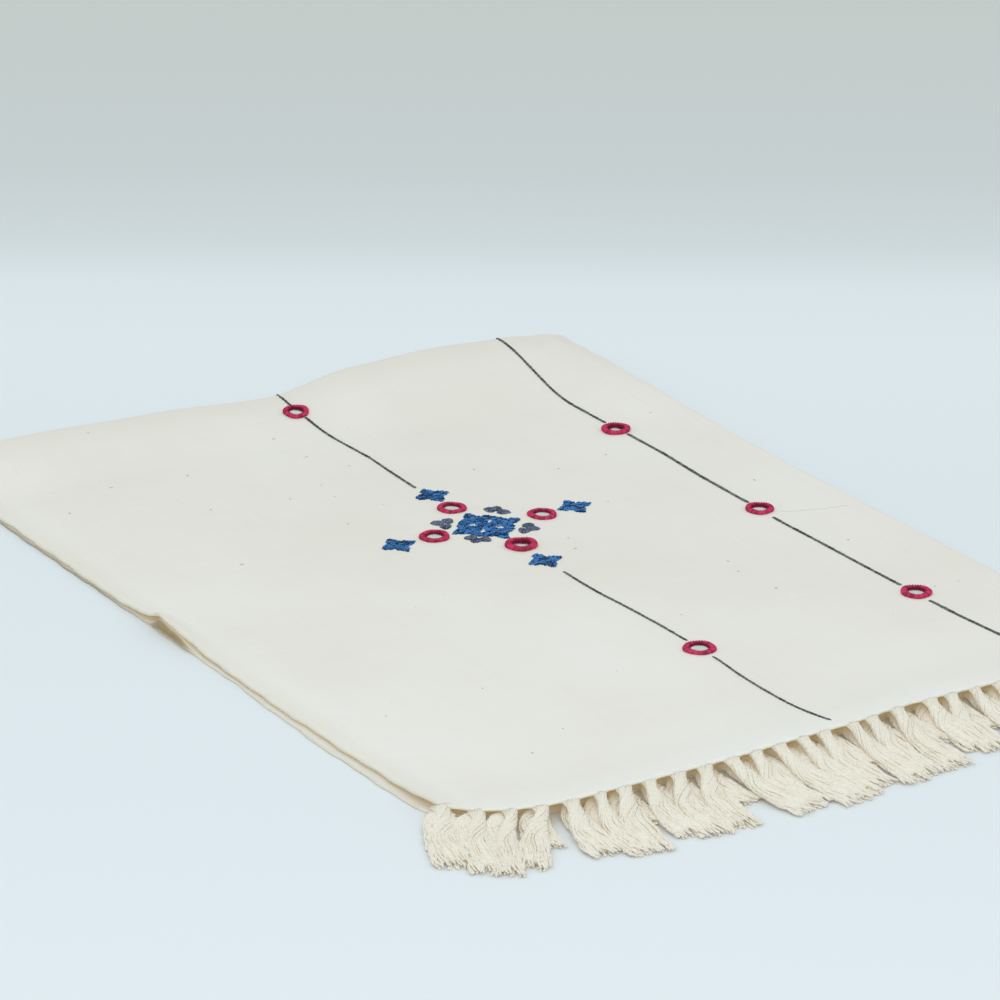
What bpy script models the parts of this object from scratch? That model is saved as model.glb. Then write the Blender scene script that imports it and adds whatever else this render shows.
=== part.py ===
# A handloom cotton table runner with mirror-work embroidery, folded in half and lying on a table.
# The fold is at -X, both fringed hems lie together at +X, and the selvedges run along X.
# Tables give places and sizes in millimetres; everything else is in metres.
import math
import random

import bpy
import numpy as np

MM = 0.001

# Cloth
WIDTH = 338 * MM
LEFT_EDGE = -169 * MM
RIGHT_EDGE = LEFT_EDGE + WIDTH
SHEET = 1.2 * MM
GAP = 0.3 * MM
LOWER_HEM_SETBACK = 9 * MM

# The whole is moved by this much, so that the origin is the middle of everything at table level
SHIFT_X = -27.3 * MM
SHIFT_Y = 5.5 * MM

# The upper hem's line across the width, before its corners
HEM_LINE = (
    # y, x
    (-169, 234),
    (-60, 235),
    (5, 232.5),
    (45, 229),
    (94, 230),
    (169, 230),
)

# Hem corners are drawn in by the knotting: how deep, how wide, and how round
NEAR_CORNER = (32 * MM, 52 * MM, 1.7)
FAR_CORNER = (10 * MM, 22 * MM, 1.8)

# Height of the upper layer's face along its near selvedge
EDGE_TOP = (
    # x, height
    (-230, 3.3),
    (-159, 3.3),
    (-112, 3.1),
    (-60, 3.2),
    (-36, 4.0),
    (30, 3.6),
    (80, 3.5),
    (155, 4.7),
    (232, 6.2),
)
MIDDLE_TOP = 4.8 * MM
EDGE_BLEND = 60 * MM
# It stands a little higher along its far selvedge
FAR_TOP = 6.2 * MM
FAR_BLEND = 34 * MM
RIPPLE = 0.2 * MM

# The upper hem is propped up by the knots of the lower fringe
HEM_TOP = 9.6 * MM
HEM_TOP_CORNER = 6.6 * MM
HEM_RISE_START = 36 * MM
HEM_RISE_END = 8 * MM

# Near selvedge: how far each layer's edge lies in from the straight line
NEAR_EDGE = (
    # x, upper layer, lower layer
    (-30, 0.0, 1.2),
    (15, 1.7, 0.5),
    (55, 2.0, -0.2),
    (90, 1.8, -0.5),
    (125, 2.1, -1.6),
    (165, 3.1, -0.9),
    (200, 2.8, -0.5),
)
EDGE_UPPER = 1
EDGE_LOWER = 2

# The fold is a soft loop, low along its near half and standing up in its far half
FOLD = (
    # y, crown height, crown x, length over which the crown fades into the flat
    (-170, 12.0, -222, 46),
    (-120, 13.2, -221, 50),
    (-60, 12.6, -220, 50),
    (5, 10.6, -219, 56),
    (50, 18.5, -213, 62),
    (90, 20.0, -212, 68),
    (130, 19.3, -211.5, 68),
    (157, 15.4, -213.5, 135),
    (170, 12.2, -216, 200),
)
FOLD_HEIGHT = 1
FOLD_X = 2
FOLD_FADE = 3
LOOP_BULGE = 1.15
LOOP_STEPS = 10

# A small pucker lifts both layers at the near selvedge
PUCKER_START = -25 * MM
PUCKER_CREST = -12 * MM
PUCKER_END = 22 * MM
PUCKER_DEPTH = 26 * MM
PUCKER_LOWER = 4.3 * MM
PUCKER_UPPER = 5.4 * MM

# Mesh stations along and across the cloth, closest where it bends
UPPER_X = (
    (-205, -194, -182, -170, -157, -143, -125, -95, -60, -38, -25, -18)
    + (-12, -4, 8, 22, 45, 90, 135, 172, 196, 204, 212, 219, 226)
)
LOWER_X = (140, 70, 22, 8, -4, -12, -18, -25, -45, -110, -170)
ACROSS_Y = (
    (-169, -164, -157, -148, -139, -122, -100, -76, -48, -20, 2)
    + (17, 30, 46, 66, 90, 114, 138, 154, 164, 169)
)

# Mirrors in thread-covered rings: left, right, near and far of the motif, then those on the stitched lines
RING_PLACES = (
    # x, y
    (-60.8, 7.6),
    (-6.3, 9.6),
    (-35.2, -17.5),
    (-33.3, 38.3),
    (-198, 6.7),
    (129.2, 10.5),
    (-107.5, 128.1),
    (12, 125.6),
    (127.4, 125.7),
)
RING_RADIUS = 5.6 * MM
RING_TUBE = 1.35 * MM
RING_HEIGHT = 1.9 * MM
RING_STEPS = 20
MIRROR_RADIUS = 4.0 * MM
MIRROR_THICKNESS = 0.9 * MM
MIRROR_STEPS = 16

# Fringe: a strip of knots, and for each tassel a head that parts into its locks
TASSELS = 28
TASSEL_PLACES = ((0, 4, 27), (-163.5, -125, 162.7))  # closer together round the near corner
LOCKS = 3
STRIP_DEPTH = 2.4 * MM
HEAD_WIDTH = 6.6 * MM
HEAD_STEPS = (4 * MM, 8 * MM)
HEAD_WIDTHS = (0.86, 1.0)
LOCK_GAP = 0.35 * MM
LOCK_SHAPE = (
    # share of the lock's run, share of its root width
    (0.18, 1.0),
    (0.60, 1.5),
    (1.00, 1.2),
)
FAN = 0.05
UPPER_REACH = 42 * MM
LOWER_REACH = 36 * MM
LEANS = (
    # y, heading in thousandths of a radian from +X, towards +Y
    (-169, -600),
    (-150, -330),
    (-132, -60),
    (-100, 20),
    (-60, -100),
    (0, -160),
    (40, -120),
    (100, -60),
    (140, 20),
    (169, 240),
)

# Undersides and tops of the fringe, in millimetres, at shares of its reach
UPPER_LEVELS = {
    "share": (0, 0.1, 0.3, 0.5, 0.75, 0.9, 1.1),
    "low": (8.3, 7.4, 6.0, 4.4, 3.4, 1.4, 0.0),
    "high": (9.5, 11.0, 10.2, 7.2, 6.2, 4.4, 2.0),
}
LOWER_LEVELS = {
    "share": (0, 0.1, 0.35, 0.6, 1.1),
    "low": (0.0, 0.0, 0.0, 0.0, 0.0),
    "high": (1.4, 4.6, 4.4, 2.8, 1.8),
}


def smooth(low, high, value):
    """0 below low, 1 above high and an even S between."""
    t = np.clip((value - low) / (high - low), 0, 1)
    return t * t * (3 - 2 * t)


def read_table(rows, column, at):
    """A column of a table at a place in metres, with soft steps between its rows."""
    places = np.array([row[0] for row in rows], float) * MM
    values = np.array([row[column] for row in rows], float) * MM
    at = np.clip(at, places[0], places[-1])
    i = np.clip(np.searchsorted(places, at, side="right") - 1, 0, len(rows) - 2)
    t = smooth(places[i], places[i + 1], at)
    return values[i] * (1 - t) + values[i + 1] * t


def corner_draw(inward, corner):
    """How far a drawn-in corner lies behind the hem's line, at a distance inward of the selvedge."""
    depth, width, power = corner
    t = np.clip(1 - inward / width, 0, 1)
    return depth * (1 - (1 - t**power) ** (1 / power))


def hem_x(y):
    """Where the upper hem ends at y."""
    y = np.clip(y, LEFT_EDGE, RIGHT_EDGE)
    line = read_table(HEM_LINE, 1, y)
    return line - corner_draw(y - LEFT_EDGE, NEAR_CORNER) - corner_draw(RIGHT_EDGE - y, FAR_CORNER)


def hem_top(y):
    """The height of the upper hem's face at y."""
    return HEM_TOP_CORNER + (HEM_TOP - HEM_TOP_CORNER) * smooth(0, EDGE_BLEND, y - LEFT_EDGE)


def pucker(x, y):
    """The side pucker's share of its full height."""
    along = smooth(PUCKER_START, PUCKER_CREST, x) * (1 - smooth(PUCKER_CREST, PUCKER_END, x))
    return along * (1 - smooth(0, PUCKER_DEPTH, y - LEFT_EDGE))


def ripple(x, y):
    """Faint unevenness of a cloth that has been folded away."""
    waves = np.sin(31 * x + 9 * y) + np.sin(-14 * x + 27 * y + 1.3)
    return RIPPLE * waves * smooth(0, EDGE_BLEND, y - LEFT_EDGE)


def upper_height(x, y):
    """The height of the upper layer's face."""
    inward = smooth(0, EDGE_BLEND, y - LEFT_EDGE)
    flat = read_table(EDGE_TOP, 1, x) * (1 - inward) + MIDDLE_TOP * inward + ripple(x, y)
    flat += (FAR_TOP - MIDDLE_TOP) * (1 - smooth(0, FAR_BLEND, RIGHT_EDGE - y))
    lift = smooth(hem_x(y) - HEM_RISE_START, hem_x(y) - HEM_RISE_END, x)
    height = flat * (1 - lift) + hem_top(y) * lift + PUCKER_UPPER * pucker(x, y)
    crown_x = read_table(FOLD, FOLD_X, y)
    rise = 1 - smooth(crown_x, crown_x + read_table(FOLD, FOLD_FADE, y), x)
    return height + (read_table(FOLD, FOLD_HEIGHT, y) - height) * rise


def lower_height(x, y):
    """The height of the lower layer's underside, which lies on the table but for its pucker."""
    return PUCKER_LOWER * pucker(x, y)


def edge_shift(x, y, layer):
    """How far a layer is drawn in from its near selvedge's straight line, faded inwards."""
    return float(read_table(NEAR_EDGE, layer, x) * (1 - smooth(0, WIDTH / 4, y - LEFT_EDGE)))


def along_hem(stations, reach):
    """Stations along the cloth in metres, with those past the middle drawn in to a hem's reach."""
    furthest = HEM_LINE[0][1] * MM
    return [x * MM * (reach / furthest if x > 0 else 1) for x in stations]


def cloth_path(y):
    """One lengthwise thread of the cloth's outer face: lower hem, loop, upper hem."""
    edge = float(hem_x(y))
    points = []
    for x in [edge - LOWER_HEM_SETBACK] + along_hem(LOWER_X, edge):
        points.append((x, y + edge_shift(x, y, EDGE_LOWER), lower_height(x, y)))
    crown = read_table(FOLD, FOLD_HEIGHT, y)
    crown_x = read_table(FOLD, FOLD_X, y)
    below = y + edge_shift(crown_x, y, EDGE_LOWER)
    for step in range(LOOP_STEPS + 1):
        angle = math.pi * (step / LOOP_STEPS - 0.5)
        up = (1 + math.sin(angle)) / 2
        x = crown_x - crown / 2 * LOOP_BULGE * math.cos(angle)
        points.append((x, below * (1 - up) + y * up, crown * up))
    for x in along_hem(UPPER_X, edge) + [edge]:
        points.append((x, y + edge_shift(x, y, EDGE_UPPER), upper_height(x, y)))
    return points


def material(name, colour, roughness, metallic=0.0):
    made = bpy.data.materials.new(name)
    made.use_nodes = True
    shader = made.node_tree.nodes["Principled BSDF"]
    shader.inputs["Base Color"].default_value = (*colour, 1)
    shader.inputs["Roughness"].default_value = roughness
    shader.inputs["Metallic"].default_value = metallic
    return made


def add_object(name, points, faces, surface, smooth_angle):
    """A smooth-shaded object whose points are shifted from the cloth's own sizes to the origin."""
    mesh = bpy.data.meshes.new(name)
    mesh.from_pydata([(float(x) + SHIFT_X, float(y) + SHIFT_Y, float(z)) for x, y, z in points], [], faces)
    mesh.materials.append(surface)
    mesh.shade_smooth()
    mesh.set_sharp_from_angle(angle=math.radians(smooth_angle))
    obj = bpy.data.objects.new(name, mesh)
    bpy.context.scene.collection.objects.link(obj)
    return obj


def build_cloth(surface):
    """The whole sheet as one face that runs back and forth, given its thickness inward."""
    paths = [cloth_path(y * MM) for y in ACROSS_Y]
    columns = len(paths[0])
    points = [point for path in paths for point in path]
    faces = []
    for r in range(len(paths) - 1):
        for c in range(columns - 1):
            corner = r * columns + c
            faces.append((corner, corner + 1, corner + columns + 1, corner + columns))
    cloth = add_object("cloth", points, faces, surface, smooth_angle=50)
    thick = cloth.modifiers.new("thickness", "SOLIDIFY")
    thick.thickness = SHEET
    thick.offset = -1
    bpy.context.view_layer.update()
    return cloth


def height_on(cloth, x, y):
    """The height just above the cloth's uppermost face."""
    found, place, _, _ = cloth.ray_cast((x + SHIFT_X, y + SHIFT_Y, 1.0), (0, 0, -1))
    return place.z + GAP if found else GAP


def build_ring(name, x, y, cloth, surface):
    """A round thread-covered ring, flat below, that follows the face of the cloth."""
    profile = [(-1, 0), (1, 0), (1, 0.5), (0.45, 1), (-0.45, 1), (-1, 0.5)]
    count = len(profile)
    points = []
    faces = []
    for step in range(RING_STEPS):
        turn = 2 * math.pi * step / RING_STEPS
        after = (step + 1) % RING_STEPS
        for k, (side, up) in enumerate(profile):
            radius = RING_RADIUS + side * RING_TUBE
            px = x + radius * math.cos(turn)
            py = y + radius * math.sin(turn)
            points.append((px, py, height_on(cloth, px, py) + up * RING_HEIGHT))
            k2 = (k + 1) % count
            faces.append((step * count + k, after * count + k, after * count + k2, step * count + k2))
    return add_object(name, points, faces, surface, smooth_angle=50)


def build_mirror(name, x, y, cloth, surface):
    """A round cut of mirror glass that lies in its ring on the face of the cloth."""
    n = MIRROR_STEPS
    rim = []
    for step in range(n):
        turn = 2 * math.pi * step / n
        rim.append((x + MIRROR_RADIUS * math.cos(turn), y + MIRROR_RADIUS * math.sin(turn)))
    bottom = [(px, py, height_on(cloth, px, py)) for px, py in rim]
    top = [(px, py, pz + MIRROR_THICKNESS) for px, py, pz in bottom]
    faces = [tuple(reversed(range(n))), tuple(range(n, 2 * n))]
    faces += [(k, (k + 1) % n, (k + 1) % n + n, k + n) for k in range(n)]
    return add_object(name, bottom + top, faces, surface, smooth_angle=30)


class Shell:
    """Points and faces of one closed body, grown section by section.

    A section holds its corners along the top, then those along the bottom, in the same order.
    """

    def __init__(self):
        self.points = []
        self.faces = []

    def add(self, points):
        first = len(self.points)
        self.points.extend(points)
        return list(range(first, first + len(points)))

    def section(self, centre, heading, corners, half_width, levels):
        """An upright section across a heading, with its corners spread evenly over its width."""
        x, y = centre
        row = []
        for level in levels:
            for k in range(corners):
                across = half_width * (2 * k / (corners - 1) - 1)
                row.append((x - math.sin(heading) * across, y + math.cos(heading) * across, level))
        return self.add(row)

    def join(self, a, b):
        """Faces between two sections with the same corners."""
        n = len(a) // 2
        for k in range(n - 1):
            self.faces.append((a[k], b[k], b[k + 1], a[k + 1]))
            self.faces.append((a[n + k], a[n + k + 1], b[n + k + 1], b[n + k]))
        self.faces.append((a[0], a[n], b[n], b[0]))
        self.faces.append((a[n - 1], b[n - 1], b[-1], a[-1]))


def levels_at(table, share, drop):
    """The top and underside of the fringe at a share of its reach, top first."""
    low = float(np.interp(share, table["share"], table["low"])) * MM
    high = float(np.interp(share, table["share"], table["high"])) * MM
    fade = max(1 - share, 0)
    return high - drop * fade, low - drop * fade


def add_strip(shell, setback, layer, table, drop_at):
    """The strip of knots beside a hem; it returns the front corners that each tassel grows from."""
    fronts = []
    backs = []
    for tassel in range(TASSELS):
        middle = float(np.interp(tassel, *TASSEL_PLACES)) * MM
        for k in range(LOCKS + 1):
            y = middle + HEAD_WIDTH * (k / LOCKS - 0.5)
            x = float(hem_x(y)) - setback + GAP
            high, low = levels_at(table, 0, drop_at(y))
            y += edge_shift(x, y, layer)
            backs.append(shell.add([(x, y, high), (x, y, low)]))
            fronts.append(shell.add([(x + STRIP_DEPTH, y, high), (x + STRIP_DEPTH, y, low)]))
    for k in range(len(backs) - 1):
        b, b2, f, f2 = backs[k], backs[k + 1], fronts[k], fronts[k + 1]
        shell.faces.append((b[0], f[0], f2[0], b2[0]))
        shell.faces.append((b[1], b2[1], f2[1], f[1]))
        shell.faces.append((b[0], b2[0], b2[1], b[1]))
        if k % (LOCKS + 1) == LOCKS:
            shell.faces.append((f[0], f[1], f2[1], f2[0]))
    shell.faces.append((backs[0][0], backs[0][1], fronts[0][1], fronts[0][0]))
    shell.faces.append((backs[-1][0], fronts[-1][0], fronts[-1][1], backs[-1][1]))
    return [fronts[i : i + LOCKS + 1] for i in range(0, len(fronts), LOCKS + 1)]


def add_tassel(shell, roots, reach, table, drop, dice):
    """A tassel's head, grown from the strip, and its locks, grown from the head's end."""
    section = [root[0] for root in roots] + [root[1] for root in roots]
    x = sum(shell.points[root[0]][0] for root in roots) / len(roots)
    y = sum(shell.points[root[0]][1] for root in roots) / len(roots)
    lean = float(read_table(LEANS, 1, y)) + 0.02 * dice.uniform(-1, 1)
    length = reach * dice.uniform(0.94, 1.06)
    travelled = 0
    for step, width in zip(HEAD_STEPS, HEAD_WIDTHS):
        heading = lean * (0.6 if travelled == 0 else 1.0)
        x += step * math.cos(heading)
        y += step * math.sin(heading)
        travelled += step
        levels = levels_at(table, travelled / length, drop)
        after = shell.section((x, y), heading, LOCKS + 1, HEAD_WIDTH / 2 * width, levels)
        shell.join(section, after)
        section = after
    for k in range(LOCKS):
        cell = [section[k], section[k + 1], section[LOCKS + 1 + k], section[LOCKS + 2 + k]]
        across = HEAD_WIDTH * ((k + 0.5) / LOCKS - 0.5)
        root = (x - math.sin(lean) * across, y + math.cos(lean) * across)
        add_lock(shell, cell, root, lean + FAN * (k - (LOCKS - 1) / 2), travelled, length, table, drop, dice)


def add_lock(shell, cell, root, heading, travelled, length, table, drop, dice):
    """A loose four-sided lock of yarn that lies down towards the table."""
    run = (length - travelled) * dice.uniform(0.9, 1.06)
    half_width = HEAD_WIDTH / LOCKS / 2 - LOCK_GAP
    for share, width in LOCK_SHAPE:
        x = root[0] + run * share * math.cos(heading)
        y = root[1] + run * share * math.sin(heading)
        levels = levels_at(table, (travelled + run * share) / length, drop)
        after = shell.section((x, y), heading, 2, half_width * width, levels)
        shell.join(cell, after)
        cell = after
    shell.faces.append((cell[0], cell[2], cell[3], cell[1]))


def build_fringe(name, setback, layer, reach, table, drop_at, seed, surface):
    """One hem's fringe: a strip, parted from the cloth by a narrow gap, that carries all its tassels."""
    dice = random.Random(seed)
    shell = Shell()
    for roots in add_strip(shell, setback, layer, table, drop_at):
        middle = shell.points[roots[0][0]][1] + HEAD_WIDTH / 2
        add_tassel(shell, roots, reach, table, drop_at(middle), dice)
    return add_object(name, shell.points, shell.faces, surface, smooth_angle=60)


def clear_scene():
    for obj in list(bpy.data.objects):
        bpy.data.objects.remove(obj)


def main():
    clear_scene()
    cotton = material("unbleached handloom cotton", (0.76, 0.73, 0.65), 0.9)
    yarn = material("loose cotton yarn", (0.80, 0.77, 0.69), 0.95)
    crimson = material("crimson cotton thread", (0.55, 0.03, 0.10), 0.7)
    glass = material("silvered mirror glass", (0.75, 0.77, 0.78), 0.08, 1.0)

    cloth = build_cloth(cotton)
    build_fringe(
        "fringe_upper", 0, EDGE_UPPER, UPPER_REACH, UPPER_LEVELS, lambda y: HEM_TOP - float(hem_top(y)), 3, yarn
    )
    build_fringe(
        "fringe_lower", LOWER_HEM_SETBACK, EDGE_LOWER, LOWER_REACH, LOWER_LEVELS, lambda y: 0.0, 8, yarn
    )

    for number, (x, y) in enumerate(RING_PLACES, start=1):
        x, y = x * MM, y * MM
        build_ring(f"ring_{number}", x, y, cloth, crimson)
        build_mirror(f"mirror_{number}", x, y, cloth, glass)


main()
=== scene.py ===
import math
from functools import partial

import bpy
import numpy as np
from mathutils import Matrix, Vector


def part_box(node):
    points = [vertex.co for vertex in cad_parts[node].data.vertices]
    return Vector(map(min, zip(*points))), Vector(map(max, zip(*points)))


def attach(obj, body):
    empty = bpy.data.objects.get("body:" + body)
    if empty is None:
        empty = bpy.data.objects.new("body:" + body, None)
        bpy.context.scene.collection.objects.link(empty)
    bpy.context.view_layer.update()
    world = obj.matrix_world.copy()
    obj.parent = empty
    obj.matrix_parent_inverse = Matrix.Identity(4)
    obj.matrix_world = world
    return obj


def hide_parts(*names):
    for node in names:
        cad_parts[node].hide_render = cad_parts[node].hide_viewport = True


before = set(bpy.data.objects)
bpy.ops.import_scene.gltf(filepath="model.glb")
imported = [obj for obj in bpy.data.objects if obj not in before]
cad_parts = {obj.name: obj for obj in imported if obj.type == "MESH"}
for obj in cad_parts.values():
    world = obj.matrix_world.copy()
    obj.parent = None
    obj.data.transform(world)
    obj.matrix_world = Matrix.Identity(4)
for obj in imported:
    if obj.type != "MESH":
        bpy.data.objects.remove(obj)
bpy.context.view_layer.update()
print("solids loaded:", len(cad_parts))

scene = bpy.context.scene
mm = 0.001
upper, lower = 1, 2  # columns of the tables that give both layers

# x runs from the fold to the fringed hems, y across the width; t runs along the folded cloth:
# 0 to 1 is the lower layer from its hem to the fold, 1 to 2 the loop, 2 to 3 the upper layer to its hem
runner = {
    "shift": (-27.3, 5.5),  # puts the middle of everything over the origin
    "left": -169,
    "right": 169,
    "thick": 1,
    "flat": (0.338, 0.915),  # the cut cloth in metres, without its fringes
    "hemSetback": 9,  # the lower hem lies this far behind the upper one
    "nearEdge": (  # x, how far the upper and the lower layer stand in from the near selvedge's line
        (-110, 0.7, 0.2), (-45, 0.4, 0.3), (-10, 0.6, 0.8), (15, 1.7, 0.8), (45, 2, 1), (76, 1.6, -0.3),
        (125, 2.1, -1.3), (165, 3.1, -0.5), (200, 2.8, 0.3),
    ),
    "nearEdgeFade": 84,
    "hemLine": ((-169, 234), (-60, 235), (5, 232.5), (45, 229), (94, 230), (169, 230)),  # y, x
    "nearCorner": (32, 52, 1.7),  # depth, width, roundness
    "farCorner": (10, 22, 1.8),
    "edgeTop": (  # x, height of the upper layer's face along its near selvedge
        (-230, 2.9), (-159, 2.9), (-112, 2.7), (-60, 2.7), (-36, 3.2),
        (30, 3.2), (80, 2.7), (125, 2.9), (155, 3), (232, 4.7),
    ),
    "middleTop": 4.8,
    "farTop": 6.2,
    "edgeBlend": 60,
    "farBlend": 34,
    "ripple": 0.2,
    "ripples": ((0.031, 0.009, 0), (-0.014, 0.027, 1.3)),  # radians a millimetre of x and of y, start
    "hemTop": (6.6, 9.6),  # at the near corner, and further in
    "hemRise": (44, 1.9),  # how far behind the hem the rise starts, and the power it grows by
    "fold": (  # y, crown height, crown x, length over which the crown fades
        (-170, 13.6, -222, 46), (-120, 13.8, -221, 50), (-60, 12.6, -220, 50), (5, 9.4, -219, 56),
        (50, 18.3, -213, 62), (90, 20, -212, 68), (130, 18.5, -211.5, 68), (157, 15.4, -213.5, 135),
        (170, 12.2, -216, 200),
    ),
    "bulge": 1.15,
    "pucker": (  # x, lift of the upper and of the lower layer in the tooth on the near selvedge
        (-45, 0, 0), (-37, 0.6, 0), (-30, 1.4, 0), (-23.5, 2, 0.1), (-20, 2.8, 1.1), (-15, 5.6, 4.8),
        (-10.5, 5.5, 5), (-3, 4.2, 4.1), (5, 3.2, 2.8), (13, 2.1, 1.1), (22, 0.6, 0.1), (32, 0, 0),
    ),
    "puckerDepth": 11,
    "puckerHang": (-1.3, 1.6),  # between these distances from the selvedge the lower layer hangs down
    "tassels": (  # y of the knot, reach, heading off +X in thousandths of a radian
        (-167.8, 45, -380), (-158.5, 45, -480), (-147.8, 45, -560), (-136.5, 43, -620), (-123.5, 37, -150),
        (-110.5, 40, -190), (-99, 42, -270), (-86.8, 36, -110), (-73.5, 40, -200), (-60.4, 43, -240),
        (-47.7, 42, 200), (-35.9, 41, 70), (-24.1, 45, 110), (-12.2, 44, 10), (-1.6, 40, -20),
        (13, 43, -30), (23.8, 42, -80), (37.4, 44, -70), (54.6, 38, -60), (65.3, 41, -100),
        (77.6, 38, 0), (89.2, 40, -60), (101.5, 41, -30), (113.8, 43, -80), (126, 39, 20),
        (138.3, 41, 0), (150.6, 43, 120), (162.7, 42, 200),
    ),
    "scallop": 0.8,  # the hem's edge draws back between two tassels
    "selvedgeWave": 0.22,
    "selvedgeWaves": ((61, 1, 0), (147, 0, 2)),  # radians a unit of t and a millimetre of y, start
    "selvedgeWaveFade": 9,
}


def smoothStep(low, high, value):
    # 0 below low, 1 above high, 3t^2 - 2t^3 between
    t = np.clip((value - low) / (high - low), 0, 1)
    return t * t * (3 - 2 * t)


def readTable(rows, column, at):
    # a column of a table at any place, with soft steps between its rows
    places = np.array([row[0] for row in rows], float)
    values = np.array([row[column] for row in rows], float)
    at = np.clip(at, places[0], places[-1])
    i = np.clip(np.searchsorted(places, at, side="right") - 1, 0, len(rows) - 2)
    t = smoothStep(places[i], places[i + 1], at)
    return values[i] * (1 - t) + values[i + 1] * t


def cornerDraw(inward, corner):
    # how far a drawn-in corner lies behind the hem's line: a quarter of a superellipse
    depth, width, power = corner
    t = np.clip(1 - inward / width, 0, 1)
    return depth * (1 - (1 - t**power) ** (1 / power))


def hemX(y):
    # the upper hem: its line, less both corners, less a small scallop between the tassels
    r = runner
    knots = np.array(r["tassels"])[:, 0]
    number = np.interp(y, knots, np.arange(len(knots)))
    scallop = r["scallop"] * (0.5 - 0.5 * np.cos(2 * math.pi * number))
    near = cornerDraw(y - r["left"], r["nearCorner"])
    far = cornerDraw(r["right"] - y, r["farCorner"])
    return readTable(r["hemLine"], 1, y) - near - far - scallop


def hemTop(y):
    low, high = runner["hemTop"]
    return low + (high - low) * smoothStep(0, runner["edgeBlend"], y - runner["left"])


def edgeShift(x, y, layer):
    # how far a layer stands in from the near selvedge's line, faded inwards
    fade = 1 - smoothStep(0, runner["nearEdgeFade"], y - runner["left"])
    return readTable(runner["nearEdge"], layer, x) * fade


def pucker(x, y, layer):
    # the lift of a layer in the tooth, faded inwards; the lower layer's last threads hang down
    inward = y - runner["left"]
    hang = smoothStep(*runner["puckerHang"], inward) if layer == lower else 1
    return readTable(runner["pucker"], layer, x) * (1 - smoothStep(0, runner["puckerDepth"], inward)) * hang


def upperHeight(x, y):
    # edge height blended into the middle's, plus ripples, risen at the hem, the pucker and the fold
    r = runner
    inward = smoothStep(0, r["edgeBlend"], y - r["left"])
    waves = sum(np.sin(a * x + b * y + start) for a, b, start in r["ripples"])
    flat = readTable(r["edgeTop"], 1, x) * (1 - inward) + (r["middleTop"] + r["ripple"] * waves) * inward
    flat = flat + (r["farTop"] - r["middleTop"]) * (1 - smoothStep(0, r["farBlend"], r["right"] - y))
    lift = np.clip(1 - (hemX(y) - x) / r["hemRise"][0], 0, 1) ** r["hemRise"][1]
    height = flat * (1 - lift) + hemTop(y) * lift + pucker(x, y, upper)
    crownX = readTable(r["fold"], 2, y)
    rise = 1 - smoothStep(crownX, crownX + readTable(r["fold"], 3, y), x)
    return height + (readTable(r["fold"], 1, y) - height) * rise


def clothPoint(t, y):
    # outer face: straight runs between hem and crown for the layers, half an ellipse for the loop
    r = runner
    t, y = np.broadcast_arrays(np.asarray(t, float), np.asarray(y, float))
    edge = hemX(y)
    crown = readTable(r["fold"], 1, y)
    crownX = readTable(r["fold"], 2, y)
    nearEdge = 1 - smoothStep(0, r["selvedgeWaveFade"], np.minimum(y - r["left"], r["right"] - y))
    wave = sum(np.sin(a * t + b * y + start) for a, b, start in r["selvedgeWaves"])
    wave = r["selvedgeWave"] * nearEdge * wave
    s = np.clip(t, 0, 1)
    lowerX = (edge - r["hemSetback"]) * (1 - s) + crownX * s
    below = y + edgeShift(lowerX, y, lower)
    lowerZ = pucker(lowerX, y, lower)
    angle = math.pi * (np.clip(t, 1, 2) - 1.5)
    up = (1 + np.sin(angle)) / 2
    loopX = crownX - crown / 2 * r["bulge"] * np.cos(angle)
    s = np.clip(t - 2, 0, 1)
    upperX = crownX * (1 - s) + edge * s
    upperZ = upperHeight(upperX, y)
    x = np.where(t <= 1, lowerX, np.where(t < 2, loopX, upperX))
    z = np.where(t <= 1, lowerZ, np.where(t < 2, crown * up, upperZ))
    above = y + edgeShift(upperX, y, upper)
    across = np.where(t <= 1, below, np.where(t < 2, below * (1 - up) + above * up, above))
    return np.stack([x, across + wave, z], -1)


def clothNormal(t, y):
    # outward normal: the cross product of a small step along and one across
    stepT, stepY = 0.0005, 0.1
    along = clothPoint(t + stepT, y) - clothPoint(t - stepT, y)
    across = clothPoint(t, y + stepY) - clothPoint(t, y - stepY)
    normal = np.cross(along, across)
    return normal / np.linalg.norm(normal, axis=-1, keepdims=True)


def upperT(x, y):
    # t of a place on the upper layer
    crownX = readTable(runner["fold"], 2, y)
    return 2 + (x - crownX) / (hemX(y) - crownX)


def addObject(name, data):
    thing = bpy.data.objects.new(name, data)
    scene.collection.objects.link(thing)
    return thing


def makePiece(name, points, faces, material, loopUv=None, shade=None):
    # puts arrays in a mesh in metres: faces are rows of four corners, or a list where some have more
    mesh = bpy.data.meshes.new(name)
    places = (np.asarray(points, float) + np.array([*runner["shift"], 0])) * mm
    if isinstance(faces, list):
        mesh.from_pydata(places.tolist(), [], faces)
    else:
        mesh.vertices.add(len(places))
        mesh.vertices.foreach_set("co", places.astype(np.float32).ravel())
        mesh.loops.add(faces.size)
        mesh.loops.foreach_set("vertex_index", faces.astype(np.int32).ravel())
        mesh.polygons.add(len(faces))
        mesh.polygons.foreach_set("loop_start", np.arange(0, faces.size, 4, dtype=np.int32))
        mesh.update(calc_edges=True)
    if loopUv is not None:
        layer = mesh.uv_layers.new(name="threads")
        layer.uv.foreach_set("vector", loopUv.astype(np.float32).ravel())
    if shade is not None:
        layer = mesh.attributes.new("shade", "FLOAT", "POINT")
        layer.data.foreach_set("value", shade.astype(np.float32).ravel())
    mesh.shade_smooth()
    mesh.materials.append(material)
    piece = addObject(name, mesh)
    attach(piece, "root")
    return piece


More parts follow.
